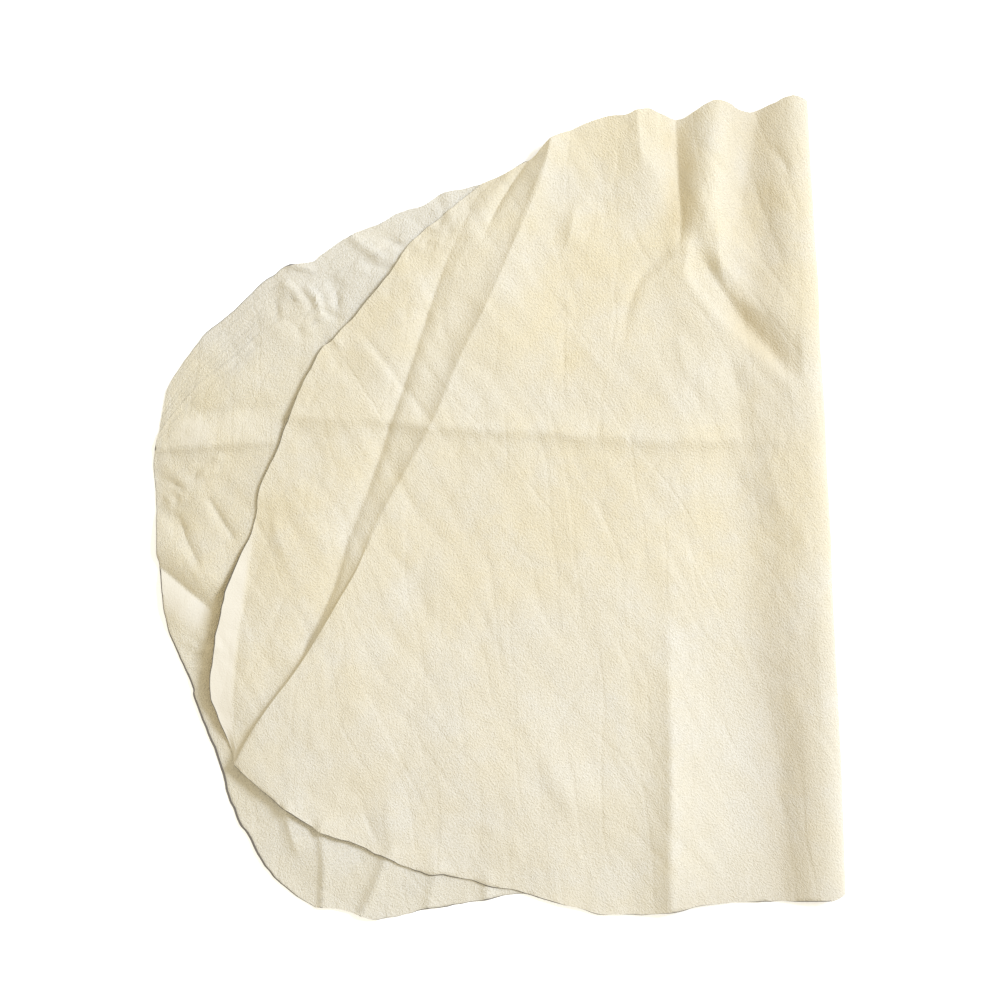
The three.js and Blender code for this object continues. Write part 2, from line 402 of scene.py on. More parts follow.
def spaced(points, shares):
    """Points of the smooth curve at the given shares of its length."""
    curve = curve_through(points, CURVE_STEPS)
    steps = np.hypot(*np.diff(curve, axis=0).T)
    run = np.concatenate([[0], np.cumsum(steps)])
    run /= run[-1]
    return np.stack([np.interp(shares, run, curve[:, i]) for i in (0, 1)], axis=1)


def beside(x, y, points):
    """Distance of each place from a line, negative on its left, and the share of the way along the line."""
    line = curve_through(points, LINE_STEPS)
    spans = np.diff(line, axis=0)
    lengths = np.hypot(spans[:, 0], spans[:, 1])
    starts = np.concatenate([[0], np.cumsum(lengths)[:-1]])
    nearest = np.full(x.shape, np.inf)
    side = np.zeros(x.shape)
    share = np.zeros(x.shape)
    for (ax, ay), (sx, sy), length, start in zip(line, spans, lengths, starts):
        t = np.clip(((x - ax) * sx + (y - ay) * sy) / length ** 2, 0, 1)
        dx = x - ax - t * sx
        dy = y - ay - t * sy
        distance = np.hypot(dx, dy)
        closer = distance < nearest
        nearest = np.where(closer, distance, nearest)
        side = np.where(closer, np.where(sx * dy > sy * dx, -1.0, 1.0), side)
        share = np.where(closer, (start + t * length) / lengths.sum(), share)
    return nearest * side, share


# Unevenness

# Rows and columns of random values before the noise repeats
NOISE_GRID = 64

# Layers of the suede's unevenness: height, cell, direction and stretch. The broad ones grow along the fold,
# and the pressed ones sink in narrow lines.
BROAD_LAYERS = [(0.5, 44, 0.0, 1.0), (0.24, 15, -1.0, 3.5), (0.2, 8, -0.9, 3.5)]
FINE_LAYERS = [(0.14, 9, 0.7, 2.0), (0.09, 5, 0.0, 1.0)]
PRESSED_LAYERS = [(0.35, 24, -1.1, 2.5), (0.3, 19, 1.2, 2.5)]
PRESSED_SHARPNESS = 8
BROAD_ALONG = ([0, 150, 300, 450], [0.8, 1.0, 1.3, 1.5])


def soft_noise(x, y, cell, seed, turn=0.0, stretch=1.0):
    """Smooth seeded noise from -1 to 1 with cells of the given size, longer along the turned direction."""
    values = np.random.default_rng(seed).uniform(-1, 1, (NOISE_GRID, NOISE_GRID))
    along = (x * math.cos(turn) + y * math.sin(turn)) / (cell * stretch)
    across = (y * math.cos(turn) - x * math.sin(turn)) / cell
    column = np.floor(along).astype(int)
    row = np.floor(across).astype(int)
    tx = smooth(along - column)
    ty = smooth(across - row)
    next_column = (column + 1) % NOISE_GRID
    next_row = (row + 1) % NOISE_GRID
    column = column % NOISE_GRID
    row = row % NOISE_GRID
    low = values[row, column] * (1 - tx) + values[row, next_column] * tx
    high = values[next_row, column] * (1 - tx) + values[next_row, next_column] * tx
    return low * (1 - ty) + high * ty


def wavered(x, y, waver):
    """Unevenness of one waver at each place."""
    size, cell, seed = waver
    return size * soft_noise(x, y, cell, seed)


def noise_layers(x, y, layers, seed):
    """Height and level of each layer of noise, each with a seed of its own."""
    pairs = []
    for step, (height, cell, turn, stretch) in enumerate(layers):
        pairs.append((height, soft_noise(x, y, cell, seed + step, turn, stretch)))
    return pairs


def rumple(x, y, seed):
    """Slight unevenness of handled suede, stronger towards the far edge."""
    fine_seed = seed + len(BROAD_LAYERS)
    pressed_seed = fine_seed + len(FINE_LAYERS)
    broad = sum(height * level for height, level in noise_layers(x, y, BROAD_LAYERS, seed))
    fine = sum(height * level for height, level in noise_layers(x, y, FINE_LAYERS, fine_seed))
    pressed = 0
    for height, level in noise_layers(x, y, PRESSED_LAYERS, pressed_seed):
        pressed = pressed + height * (1 - np.abs(level)) ** PRESSED_SHARPNESS
    return np.interp(y, *BROAD_ALONG) * broad + fine - pressed


# Folds

# An uneven fold strays from its line and varies in height.
STRAY = (1.0, 14, 55)
VARYING = (0.3, 24, 56)


def flank(share, crisp, power=3.0):
    """Height of a fold's flank from its crest (share 0) to its foot (share 1), sharp-crested where crisp.
    A lower power makes the sharp flank straighter."""
    share = np.clip(share, 0, 1)
    soft = 0.5 * (1 + np.cos(math.pi * share))
    return (1 - crisp) * soft + crisp * (1 - share) ** power


def fold_height(x, y, line, height, left, right, fade, crisp=1, power=3.0, waver=0.0):
    """Height that one fold adds at each place. A waver makes its line and its height uneven."""
    distance, share = beside(x, y, line)
    level = faded(share, fade)
    if waver:
        distance = distance + waver * wavered(x, y, STRAY)
        level = level * (1 + waver * wavered(x, y, VARYING))
    width = np.where(distance < 0, ranged(left, share), ranged(right, share))
    return ranged(height, share) * flank(np.abs(distance) / width, crisp, power) * level


def all_folds(x, y, folds):
    """Height that a leaf's folds add together at each place."""
    return sum(fold_height(x, y, **fold) for fold in folds.values())


def crumple_height(x, y):
    """Height that the bunched creases add at each place."""
    rng = np.random.default_rng(CREASE_SEED)
    height = np.zeros(x.shape)
    for middle, spread, direction, count in CRUMPLES:
        for _ in range(count):
            start = rng.normal(middle, spread)
            turn = direction + rng.uniform(*CREASE_TURN)
            length = rng.uniform(*CREASE_LENGTH)
            bow = rng.uniform(*CREASE_BOW)
            ahead = np.array([math.cos(turn), math.sin(turn)])
            aside = np.array([-ahead[1], ahead[0]])
            line = [start, start + 0.5 * length * ahead + bow * aside, start + length * ahead]
            crest = rng.choice(CREASE_SIGNS) * rng.uniform(*CREASE_HEIGHT)
            left = rng.uniform(*CREASE_FLANK)
            right = rng.uniform(*CREASE_FLANK)
            height += fold_height(x, y, line, crest, left, right, CREASE_FADE, power=CREASE_POWER)
    return height


# Height of the lower leaf

# Its unevenness, and the height below which it levels out on the table
LOWER_SEED = 40
LOWER_RUMPLE = 0.8
LOWER_LEAST = 0.2

# The leaf lies smooth near the fold, and its unevenness comes in on this ramp.
UNCOVERED = (-150, -60)

# The leaf is lifted inside its cut edge: the height, and the ramps up from the edge and down again
STRIP_LIFT = 3.2
STRIP_UP = (0, 34)
STRIP_DOWN = (70, 120)


def settled(height, least):
    """Heights that level out towards zero below a least height, as leather does on the table."""
    return np.where(height > least, height, least * np.exp(np.minimum(height - least, 0) / least))


def lower_relief(x, y):
    """Height of the lower leaf's underside over the table."""
    height = crumple_height(x, y) + all_folds(x, y, LOWER_FOLDS)
    for line, crest, left, right, fade in SHORT_CREASES:
        height = height + fold_height(x, y, line, crest, left, right, fade)
    for (lift_x, lift_y), reach, lift in EDGE_LIFTS:
        height = height + lift * (1 - smooth(np.hypot(x - lift_x, y - lift_y) / reach))
    inside = np.abs(beside(x, y, LOWER_CUT)[0])
    strip = STRIP_LIFT * eased(inside, STRIP_UP) * (1 - eased(inside, STRIP_DOWN))
    height = height + (LOWER_RUMPLE * rumple(x, y, LOWER_SEED) + strip) * eased(x, UNCOVERED)
    return settled(height + SLACK, LOWER_LEAST)


# Height of the upper leaf

# Its unevenness, the height below which it levels out on the lower leaf, and its ramp free of the roll
UPPER_SEED = 7
UPPER_LEAST = 0.3
FREE = (-ROLL_DEPTH, -6)

# The roll's height runs out over the upper leaf: the width of that run along the fold, and its waver
SHOULDER_RUN = ([0, 100, 150, 210, 270, 340, 390, 440, 500], [36, 37, 50, 48, 56, 45, 37, 30, 27])
SHOULDER_WAVER = (4, 30, 57)

# Broad rise of the leaf: its start out from the fold, its run and its height, at places along the fold
RISE_START = ([0, 240, 310, 400, 440, 500], [50, 50, 22, 22, 40, 40])
RISE_RUN = ([0, 240, 310, 500], [84, 84, 52, 52])
RISE_HEIGHT = ([0, 250, 320, 400, 440, 500], [4.6, 4.6, 5.6, 5.6, 4.6, 4.6])

# Share of that rise which is lost at the outer edge, at shares of the way along, and the ramp of the loss
EDGE_LOSS = ([0, 0.3, 0.6, 0.8, 0.95], [0.6, 0.5, 0.4, 0.45, 0.9])
EDGE_LOSS_RAMP = (0.84, 0.16)

# Share of it that is left at the near edge, at places out from the fold, and the ramp to the whole of it
NEAR_LEFT = ([-372, -310, -260], [0.6, 0.5, 0.05])
NEAR_RAMP = (0, 0.15)

# The flap lies lower than the body beyond the diagonal crease: the drop and its run, from near to far
FLAP_DROP = (2.0, 1.2)
FLAP_RUN = (12, 19)

# The flap's outer margin is turned up from this line to its edge: slope, softness of the bend, faded ends
CURL_LINE = [
    (-347, 268), (-352, 248), (-357, 226), (-361, 205), (-366, 180), (-370, 155), (-372, 130), (-369, 108),
]
CURL_SLOPE = (0.40, 0.50)
CURL_SOFTNESS = 0.8
CURL_FADE = (0.35, 0.15)


def shoulder(x, y):
    """Share of the roll's height that carries on over the upper leaf."""
    run = np.interp(y, *SHOULDER_RUN) + wavered(x, y, SHOULDER_WAVER)
    return 1 - smoother((-ROLL_DEPTH - x) / run)


def broad_rise(x, y, out, along):
    """Height of the broad rise. out and along are shares of the way from the fold and the near edge."""
    rise = np.interp(y, *RISE_HEIGHT) * smooth((-np.interp(y, *RISE_START) - x) / np.interp(y, *RISE_RUN))
    rise = rise * (1 - np.interp(along, *EDGE_LOSS) * eased(out, EDGE_LOSS_RAMP))
    near_left = np.interp(x, *NEAR_LEFT)
    return rise * (near_left + (1 - near_left) * eased(along, NEAR_RAMP))


def curl_height(x, y):
    """Height of the flap's turned-up outer margin."""
    distance, share = beside(x, y, CURL_LINE)
    ramp = np.sqrt(np.maximum(distance, 0) ** 2 + CURL_SOFTNESS) - math.sqrt(CURL_SOFTNESS)
    return ranged(CURL_SLOPE, share) * ramp * faded(share, CURL_FADE)


def flap_drop(x, y):
    """Depth by which the flap lies below the body, beyond the diagonal crease."""
    distance, share = beside(x, y, DIAGONAL)
    down = 1 - flank(np.maximum(-distance, 0) / ranged(FLAP_RUN, share), 1)
    return ranged(FLAP_DROP, share) * down


def upper_relief(x, y, out, along):
    """Height of the upper leaf's top, which lies on the lower leaf and goes over into the roll's crest."""
    folds = all_folds(x, y, UPPER_FOLDS) + curl_height(x, y) - flap_drop(x, y) + rumple(x, y, UPPER_SEED)
    lying = LYING + lower_relief(x, y) - SLACK
    over = (CREST - lying) * shoulder(x, y) + broad_rise(x, y, out, along) + folds
    return CREST + (lying + settled(over, UPPER_LEAST) - CREST) * eased(x, FREE)


# Wear and painted light and shade, as shares from 0 to 1

# Rubbed leather whose paleness is a painted highlight: the ramps across the flap's margin and across the
# facet beyond the lower leaf's outer valley, and spots given by middle, half sizes and strength
MARGIN = (0, 4)
FACET_UP = (0, 2.5)
FACET_DOWN = (11, 12)
FACET_FADE = (0, 0.1)
HIGHLIGHT_SPOTS = [
    ((-390, 308.5), (12, 10), 0.6),
    ((-361, 310), (16, 8), 0.3),
]
SPOT_RIM = (0.5, 0.7)

# Painted shade: along the roll's shoulder and less on its crest, along the near edge, as a painted shadow on
# the far part of the lower leaf's uncovered strip, and on the rubbed margin, where it tones down the painted
# highlight
SHOULDER_SHADE = ([0, 90, 150, 210, 270, 340, 390, 450], [1, 1, 0.9, 0.35, 0.35, 0.6, 1, 1])
SHOULDER_END = (-64, 28)
CREST_END = (-26, 20)
CREST_LESS_SHADE = 0.75
NEAR_SHADE = 0.5
NEAR_BAND = (0, 32)
NEAR_END = (-118, 14)
STRIP_SHADOW = ([180, 230, 290, 320, 350, 385], [0, 0.38, 0.38, 0.05, 0.1, 0.44])
STRIP_START = (-300, -30)
MARGIN_SHADE = 0.65

# Painted golden shade in two far valleys, with the ramps at their starts and ends, and a painted golden
# shadow along the line where the flap's turned-up margin ends. A larger core leaves more of the width tinted
# in full.
GOLDEN_SHADED_VALLEYS = (("wave_valley", (0, 0.25)), ("slant_valley", (0.25, 0.25)))
VALLEY_WIDTH = 13
VALLEY_CORE = 1.2
VALLEY_END = (1, -0.25)
GOLDEN_SHADOW_LINE = UPPER_OUTER[:11]
GOLDEN_SHADOW_WIDTH = 11
GOLDEN_SHADOW_CORE = 1.1
GOLDEN_SHADOW_FADE = (0.15, 0.3)


def highlit_margin(x, y):
    """Share of smooth suede with a painted highlight on the flap's turned-up margin."""
    distance, share = beside(x, y, CURL_LINE)
    return eased(distance, MARGIN) * faded(share, CURL_FADE)


def highlit_facet(x, y):
    """Share of smooth suede with a painted highlight between the lower leaf's outer valley and its cut edge,
    and in spots.
    """
    distance, share = beside(x, y, LOWER_FOLDS["outer_valley"]["line"])
    pale = eased(distance, FACET_UP) * (1 - eased(distance, FACET_DOWN)) * faded(share, FACET_FADE)
    for (spot_x, spot_y), (half_width, half_length), strength in HIGHLIGHT_SPOTS:
        spot = np.hypot((x - spot_x) / half_width, (y - spot_y) / half_length)
        pale = np.maximum(pale, strength * (1 - eased(spot, SPOT_RIM)))
    return pale


def shoulder_painted_shade(x, y):
    """Share of the painted shade along the shoulder of the roll and along the near edge."""
    on_shoulder = np.interp(y, *SHOULDER_SHADE) * eased(x, SHOULDER_END)
    on_shoulder = on_shoulder * (1 - CREST_LESS_SHADE * eased(x, CREST_END))
    by_edge = NEAR_SHADE * (1 - eased(y, NEAR_BAND)) * eased(x, NEAR_END)
    return np.maximum(on_shoulder, by_edge)


def strip_painted_shadow(x, y):
    """Share of the painted shadow on the far part of the lower leaf's uncovered strip."""
    return np.interp(y, *STRIP_SHADOW) * eased(x, STRIP_START)


def valley_golden_shade(x, y):
    """Share of the painted golden shade in the upper leaf's two far valleys."""
    tint = np.zeros(x.shape)
    for name, start in GOLDEN_SHADED_VALLEYS:
        distance, share = beside(x, y, UPPER_FOLDS[name]["line"])
        across = smooth(VALLEY_CORE - np.abs(distance) / VALLEY_WIDTH)
        tint = np.maximum(tint, across * eased(share, start) * eased(share, VALLEY_END))
    return tint


def margin_golden_shadow(x, y):
    """Share of the painted golden shadow on the lower leaf, along the end of the flap's turned-up margin."""
    distance, share = beside(x, y, GOLDEN_SHADOW_LINE)
    return smooth(GOLDEN_SHADOW_CORE - np.abs(distance) / GOLDEN_SHADOW_WIDTH) * faded(share, GOLDEN_SHADOW_FADE)


# Plans and sides of the leaves

# The lower leaf is flat on the table beside the roll, and its relief comes in on this ramp.
ROLL_FOOT = (-ROLL_DEPTH, -30)


def edge(points, shares, seed):
    """Points of a cut edge at shares of its length, with the slight waver of a hand cut."""
    curve = spaced(points, shares)
    ahead = unit(np.gradient(curve, axis=0))
    run = shares * np.hypot(*np.diff(curve, axis=0).T).sum()
    fine = soft_noise(run, 0 * run, FINE_EDGE_CELL, seed + FINE_EDGE_SEED)
    waver = EDGE_WAVER * (soft_noise(run, 0 * run, EDGE_CELL, seed) + FINE_EDGE_SHARE * fine)
    waver = waver * faded(shares, EDGE_ENDS)
    return curve + waver[:, None] * np.stack([-ahead[:, 1], ahead[:, 0]], axis=1)


def grid_between(inner, outer, near, far, out):
    """Plan of leather between its inner and outer side and its near and far end, as a grid of points."""
    s = out[None, :, None]
    t = np.linspace(0, 1, len(inner))[:, None, None]
    sides = (1 - s) * inner[:, None] + s * outer[:, None]
    ends = (1 - t) * near[None] + t * far[None]
    corners = (1 - t) * ((1 - s) * near[0] + s * near[-1]) + t * ((1 - s) * far[0] + s * far[-1])
    return sides + ends - corners


def fold_side(near, far, along):
    """Straight side of a leaf along the fold."""
    return near[0] + (far[0] - near[0]) * along[:, None]


def upper_leaf_side():
    """Outer side of the upper leaf, from the roll's crest to the cut edge, gridded along its diagonal."""
    along = np.linspace(0, 1, UPPER_ROWS + 1)
    crease = spaced(DIAGONAL, along)
    out = np.linspace(0, 1, BODY_COLUMNS + 1)
    out = np.concatenate([[0], np.array(SEAM_STEPS) / UPPER_WIDTH, out[1:]])
    near = edge(UPPER_NEAR, out, EDGE_SEEDS["upper_near"])
    far = edge(UPPER_FAR, out, EDGE_SEEDS["upper_far"])
    body = grid_between(fold_side(near, far, along), crease, near, far, out)
    flap_out = np.linspace(0, 1, FLAP_COLUMNS + 1)
    flap_near = spaced(FLAP_NEAR, flap_out)
    flap_far = edge(FLAP_FAR, flap_out, EDGE_SEEDS["flap_far"])
    flap_edge = edge(UPPER_OUTER, along, EDGE_SEEDS["upper_outer"])
    flap = grid_between(crease, flap_edge, flap_near, flap_far, flap_out)
    plan = np.concatenate([body, flap[:, 1:]], axis=1)
    share = np.concatenate([FLAP_START * out, FLAP_START + (1 - FLAP_START) * flap_out[1:]])
    x, y = np.moveaxis(plan, 2, 0)
    return np.stack([x, y, upper_relief(x, y, share[None], along[:, None])], axis=2)


def lower_leaf_side():
    """Outer side of the lower leaf, from the cut edge to the roll."""
    along = np.linspace(0, 1, LOWER_ROWS + 1)
    out = np.linspace(0, 1, LOWER_COLUMNS + 1) ** LOWER_CROWDING
    near = edge(LOWER_NEAR, out, EDGE_SEEDS["lower_near"])
    far = edge(LOWER_FAR, out, EDGE_SEEDS["lower_far"])
    outer = edge(LOWER_OUTER, along, EDGE_SEEDS["lower_outer"])
    plan = grid_between(fold_side(near, far, along), outer, near, far, out)
    x, y = np.moveaxis(plan, 2, 0)
    z = lower_relief(x, y) * eased(x, ROLL_FOOT)
    return np.stack([x, y, z], axis=2)[:, ::-1]


def roll_side():
    """Outer side of the roll, from the lower leaf round to its crest."""
    rows = np.linspace(0, 1, LOWER_ROWS + 1)[:, None]
    steps = np.linspace(-0.5, 0.5, ROLL_STEPS + 1) * math.pi
    seam = math.pi / 2 - np.array(SEAM_STEPS)[::-1] / ROLL_DEPTH
    angle = np.concatenate([steps[1:-1], seam, steps[-1:]])[None]
    turned = angle / math.pi + 0.5
    bulge = np.cos(angle)
    start = LOWER_NEAR[0][1] + (UPPER_NEAR[0][1] - LOWER_NEAR[0][1]) * turned + ROLL_NEAR_TUCK * bulge ** 2
    end = LOWER_FAR[0][1] + (UPPER_FAR[0][1] - LOWER_FAR[0][1]) * turned - ROLL_FAR_TUCK * bulge ** 2
    y = start + (end - start) * rows
    bow = ROLL_BOW * (1 - (2 * rows - 1) ** 2)
    round_way = ROLL_WAVER_PER_RADIAN * angle + 0 * y
    waver = wavered(y, round_way, ROLL_WAVER)
    x = -ROLL_DEPTH + (ROLL_DEPTH + bow + waver) * bulge
    z = ROLL_RISE + ROLL_RISE * np.sin(angle) + 0 * rows
    return np.stack([x, y, z], axis=2)


def other_side(side):
    """The skin's other side, one thickness away."""
    normal = np.cross(np.gradient(side, axis=0), np.gradient(side, axis=1))
    return side - SKIN * unit(normal)


def skived(side, column, inward, amount, far):
    """A side of the skin that sticks out past the other one along its near, outer and far edge."""
    level = np.array([1, 1, 0])
    cut = side.copy()
    near_x = side[0, :, 0]
    broken = BROKEN_MIDDLE + wavered(near_x, 0 * near_x, BROKEN_SWING)
    cut[0] += SKIVE_NEAR * broken[:, None] * unit((side[0] - side[1]) * level)
    cut[-1] += far[:, None] * unit((side[-1] - side[-2]) * level)
    cut[:, column] += amount[:, None] * unit((side[:, column] - side[:, inward]) * level)
    return cut


# Materials

# Step between nodes in the editor, how far each unit of a seed moves the noises, and their middle level
NODE_STEP = 220
NOISE_SHIFT = (0.37, 0.19, 1.0)
NOISE_MIDDLE = 0.5

# Values of the shaders by the names of their inputs
SUEDE_FINISH = {
    "Roughness": 0.95, "Specular IOR Level": 0.15, "Sheen Weight": 0.12, "Sheen Roughness": 0.5,
}
# The cut rim's dark colour is painted shade.
CUT_SHADE_FINISH = {"Base Color": (0.195, 0.182, 0.169, 1), "Roughness": 1.0, "Specular IOR Level": 0.1}
TABLE_FINISH = {
    "Base Color": (0.9, 0.9, 0.9, 1), "Roughness": 0.9, "Specular IOR Level": 0.1,
    "Emission Color": (1, 1, 1, 1), "Emission Strength": 0.35,
}

# Noises of the suede: cells to a metre, detail, roughness, direction and stretch
CLOUDS = (11, 5, 0.6, 0.0, 1.0)
PATCHES = (26, 5, 0.65, 0.0, 1.0)
NAP = (860, 3, 0.6, 0.9, 1.3)
PORES = (1250, 1, 0.5, 0.0, 1.0)
PRESSED_LINES = [(30, 1.5, 0.5, 1.0, 4.0), (36, 1.5, 0.5, 1.5, 4.0), (30, 1.5, 0.5, -0.7, 4.0)]

# Levels between which a noise goes from nothing to its full share, and the strength of patches and of the
# painted shade in nap pits
CLOUD_LEVELS = (0.32, 0.66)
PATCH_LEVELS = (0.38, 0.74)
PIT_LEVELS = (0.62, 0.34)
LINE_LEVELS = (0.0, 0.06)
PATCH_STRENGTH = 0.6
PIT_STRENGTH = 0.35
PIT_SHADE = 0.78

# Depths of the pores and the pressed lines in metres, and the share of relief lost where suede is rubbed
PORE_DEPTH = 0.0004
LINE_DEPTH = 0.00018
RUBBED_FLATTER = 0.6

# Colour of the painted highlight on rubbed suede, and tints of painted shade and painted golden shade
PAINTED_HIGHLIGHT = (0.690, 0.645, 0.537)
PAINTED_SHADE = (0.90, 0.885, 0.865)
PAINTED_GOLDEN_SHADE = (0.965, 0.93, 0.85)


class SuedeNodes:
    """Nodes of one suede, set in a row in the order in which they are added."""

    def __init__(self, name, seed):
        self.material = bpy.data.materials.new(name)
        self.material.use_nodes = True
        self.tree = self.material.node_tree
        self.tree.nodes.clear()
        self.shift = tuple(seed * part for part in NOISE_SHIFT)
        self.flat = self.add("ShaderNodeUVMap", uv_map="flat").outputs["UV"]

    def add(self, kind, **settings):
        """Adds a node and sets its properties."""
        node = self.tree.nodes.new(kind)
        node.location = (NODE_STEP * len(self.tree.nodes), 0)
        for key, value in settings.items():
            setattr(node, key, value)
        return node

    def feed(self, socket, value):
        """Gives a socket another node's output, or a value of its own."""
        if isinstance(value, bpy.types.NodeSocket):
            self.tree.links.new(value, socket)
        else:
            socket.default_value = value

    def reckon(self, operation, *values, clamp=False):
        """Result of an operation on outputs and numbers."""
        node = self.add("ShaderNodeMath", operation=operation, use_clamp=clamp)
        for socket, value in zip(node.inputs, values):
            self.feed(socket, value)
        return node.outputs[0]

    def noise(self, cells, detail, roughness, turn, stretch):
        """Noise on the leaf's flat map, in cells that are longer along the turned direction."""
        place = self.add("ShaderNodeMapping", vector_type="TEXTURE")
        self.feed(place.inputs["Vector"], self.flat)
        self.feed(place.inputs["Location"], self.shift)
        self.feed(place.inputs["Rotation"], (0, 0, turn))
        self.feed(place.inputs["Scale"], (stretch, 1, 1))
        node = self.add("ShaderNodeTexNoise")
        self.feed(node.inputs["Vector"], place.outputs["Vector"])
        self.feed(node.inputs["Scale"], cells)
        self.feed(node.inputs["Detail"], detail)
        self.feed(node.inputs["Roughness"], roughness)
        return node.outputs["Fac"]

    def ramped(self, value, low, high):
        """Share that eases from 0 to 1 between a low and a high level."""
        node = self.add("ShaderNodeMapRange", interpolation_type="SMOOTHSTEP")
        self.feed(node.inputs["Value"], value)
        self.feed(node.inputs["From Min"], low)
        self.feed(node.inputs["From Max"], high)
        return node.outputs["Result"]

    def zoned(self, value, zones):
        """Grey level that goes through zones, given as places and levels."""
        node = self.add("ShaderNodeValToRGB")
        stops = node.color_ramp.elements
        for place, _ in zones[2:]:
            stops.new(place)
        for stop, (place, grey) in zip(stops, zones):
            stop.position = place
            stop.color = (grey, grey, grey, 1)
        self.feed(node.inputs["Fac"], value)
        return node.outputs["Color"]

    def blended(self, share, first, second, mode="MIX"):
        """A first colour with a share of a second one."""
        node = self.add("ShaderNodeMix", data_type="RGBA", blend_type=mode)
        self.feed(node.inputs["Factor"], share)
        targets = [socket for socket in node.inputs if socket.type == "RGBA"]
        for target, colour in zip(targets, (first, second)):
            self.feed(target, (*colour, 1) if isinstance(colour, tuple) else colour)
        return [socket for socket in node.outputs if socket.type == "RGBA"][0]

    def wear_and_painted_light(self, kind):
        """Share of one kind of wear or painted light and shade, as it is stored on the leaf."""
        return self.add("ShaderNodeAttribute", attribute_name=kind).outputs["Fac"]


def clouded(nodes, base, warm, pale, zones):
    """Colour of the suede before its wear and painted light and shade, with warm clouds, and paler in patches
    and in zones along the fold.
    """
    clouds = nodes.ramped(nodes.noise(*CLOUDS), *CLOUD_LEVELS)
    patches = nodes.ramped(nodes.noise(*PATCHES), *PATCH_LEVELS)
    parts = nodes.add("ShaderNodeSeparateXYZ")
    nodes.feed(parts.inputs["Vector"], nodes.flat)
    along = nodes.reckon("DIVIDE", parts.outputs["Y"], FOLD_LENGTH * MM)
    paleness = nodes.reckon("MULTIPLY_ADD", patches, PATCH_STRENGTH, nodes.zoned(along, zones), clamp=True)
    return nodes.blended(paleness, nodes.blended(clouds, base, warm), pale)


def worn_and_painted(nodes, colour):
    """Colour of the suede with its rubbed places and their painted highlight, its painted shade and its
    painted golden shade.
    """
    colour = nodes.blended(nodes.wear_and_painted_light("rubbed_and_highlight"), colour, PAINTED_HIGHLIGHT)
    colour = nodes.blended(nodes.wear_and_painted_light("painted_shade"), colour, PAINTED_SHADE, "MULTIPLY")
    return nodes.blended(nodes.wear_and_painted_light("golden_shade"), colour, PAINTED_GOLDEN_SHADE, "MULTIPLY")


def suede_relief(nodes, nap, nap_depth):
    """Normals of the suede's nap, pores and pressed lines, which lie flatter where it is rubbed."""
    layers = [(nap, nap_depth), (nodes.noise(*PORES), PORE_DEPTH)]
    for pressed in PRESSED_LINES:
        middle = nodes.reckon("SUBTRACT", nodes.noise(*pressed), NOISE_MIDDLE)
        away = nodes.reckon("ABSOLUTE", middle)
        layers.append((nodes.ramped(away, *LINE_LEVELS), LINE_DEPTH))
    height = 0.0
    for layer, depth in layers:
        height = nodes.reckon("MULTIPLY_ADD", layer, depth, height)
    relief = nodes.add("ShaderNodeBump")
    strength = nodes.reckon("MULTIPLY_ADD", nodes.wear_and_painted_light("rubbed_and_highlight"), -RUBBED_FLATTER, 1.0)
    nodes.feed(relief.inputs["Strength"], strength)
    nodes.feed(relief.inputs["Distance"], 1.0)
    nodes.feed(relief.inputs["Height"], height)
    return relief.outputs["Normal"]


def suede(name, base, warm, pale, zones, nap_depth, seed):
    """Matte suede with cloudy colour, painted shade in the pits of its fine nap, and pressed lines. zones
    gives its paleness along the fold.
    """
    nodes = SuedeNodes(name, seed)
    nap = nodes.noise(*NAP)
    # The nap's pits get painted shade: the colour darkens where the nap's relief is low.
    pits = nodes.reckon("MULTIPLY", nodes.ramped(nap, *PIT_LEVELS), PIT_STRENGTH)
    shade = tuple(PIT_SHADE * part for part in base)
    colour = nodes.blended(pits, clouded(nodes, base, warm, pale, zones), shade)
    shader = nodes.add("ShaderNodeBsdfPrincipled")
    for key, value in SUEDE_FINISH.items():
        nodes.feed(shader.inputs[key], value)
    nodes.feed(shader.inputs["Base Color"], worn_and_painted(nodes, colour))
    nodes.feed(shader.inputs["Normal"], suede_relief(nodes, nap, nap_depth))
    output = nodes.add("ShaderNodeOutputMaterial")
    nodes.feed(output.inputs["Surface"], shader.outputs["BSDF"])
    return nodes.material


def plain(name, finish):
    """Material without any pattern."""
    material = bpy.data.materials.new(name)
    material.use_nodes = True
    shader = material.node_tree.nodes["Principled BSDF"]
    for key, value in finish.items():
        shader.inputs[key].default_value = value
    return material


OUTER_SUEDE = suede(
    "outer_suede", base=(0.667, 0.608, 0.467), warm=(0.683, 0.602, 0.414), pale=(0.684, 0.646, 0.550),
    zones=[(0.0, 0.55), (0.2, 0.5), (0.45, 0.15), (0.7, 0.0), (1.0, 0.1)], nap_depth=0.00072, seed=1.0)
INNER_SUEDE = suede(
    "inner_suede", base=(0.707, 0.652, 0.514), warm=(0.709, 0.637, 0.461), pale=(0.672, 0.637, 0.546),
    zones=[(0.0, 0.75), (0.2, 0.5), (0.4, 0.0), (0.66, 0.0), (0.8, 0.7)], nap_depth=0.00096, seed=2.0)
CUT_EDGE_SHADE = plain("cut_edge_shade", CUT_SHADE_FINISH)

# Pieces

# Faces that meet at more than this angle keep a sharp edge.
SHARP_ANGLE = math.radians(55)


def placed(name, data):
    """Object of a mesh, a camera or a light, linked to the scene."""
    obj = bpy.data.objects.new(name, data)
    bpy.context.collection.objects.link(obj)
    return obj


